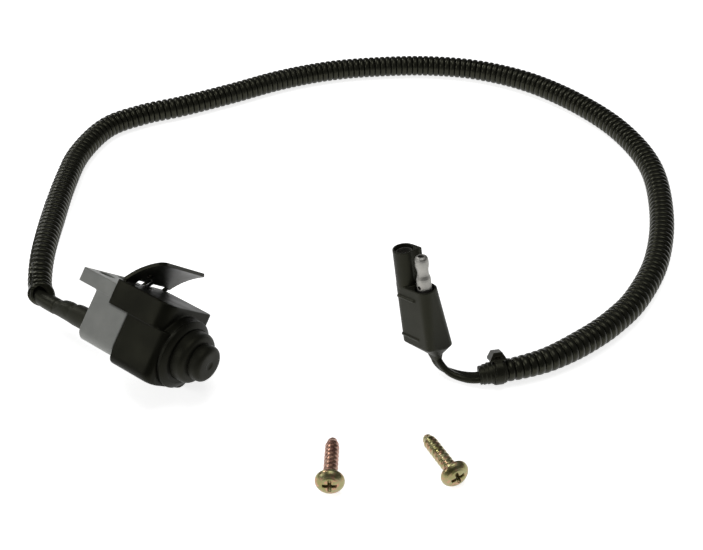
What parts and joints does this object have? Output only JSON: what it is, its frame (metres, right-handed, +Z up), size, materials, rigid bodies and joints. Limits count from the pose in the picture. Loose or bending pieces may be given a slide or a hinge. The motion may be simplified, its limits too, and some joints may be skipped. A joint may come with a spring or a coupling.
{
  "type": "trailer wiring connector",
  "caption": "Flange-mounted sealed plunger housing with a sprung flap, wired through a split corrugated loom to a moulded two-pole flat trailer plug, with its mounting screws.",
  "frame": {"origin": "centre of the bottom of the box round the housing and the two screws, on the surface that everything lies on", "axes": "+Z up from that surface; the housing lies on its lower corner edge, rolled 46 degrees, with its plunger towards +X and -Y"},
  "size_m": [0.2682, 0.2666, 0.0487],
  "materials": {
    "grey_shell": "satin",
    "black_shell": "satin",
    "flap_black": "satin",
    "black_rubber": "matte",
    "nylon": "satin",
    "spring_steel": "satin",
    "contact_brass": "satin",
    "cable_black": "satin",
    "loom_black": "satin",
    "tape_black": "matte",
    "tie_black": "satin",
    "plug_black": "satin",
    "tin_plate": "satin",
    "yellow_zinc": "polished"
  },
  "bodies": {
    "housing": {"rear_shell": "grey_shell", "front_shell": "black_shell", "shell_gasket": "black_rubber", "guide_bush": "nylon", "boot_bezel": "black_shell", "rubber_boot": "black_rubber", "return_spring": "spring_steel", "fixed_terminals": "contact_brass", "terminal_carrier": "nylon", "flap_pin": "spring_steel", "flap_spring": "spring_steel", "lead_sleeve": "black_rubber", "lead_wires": "cable_black", "loom": "loom_black", "end_tape": "tape_black", "cable_tie": "tie_black", "plug_cable": "cable_black", "plug_body": "plug_black", "male_pin": "tin_plate", "female_terminal": "tin_plate", "mounting_screws": "yellow_zinc"},
    "plunger_rod": {"plunger": "nylon", "contact_bridge": "contact_brass"},
    "flap_plate": {"flap": "flap_black"}
  },
  "joints": [
    {"name": "plunger_slide", "type": "slide", "parent": "housing", "child": "plunger_rod", "axis": [-0.8192, 0.5736, 0], "range_m": [0, 0.003], "stiffness_N_per_m": 800, "springref_m": -0.003, "deforming": ["return_spring", "rubber_boot"]},
    {"name": "flap_hinge", "type": "hinge", "parent": "housing", "child": "flap_plate", "pos_m": [-0.03753, 0.02659, 0.0263], "axis": [0.3984, 0.569, -0.7193], "range_deg": [0, 30], "stiffness_Nm_per_rad": 0.02, "springref_deg": -34.38, "deforming": ["flap_spring"]}
  ]
}
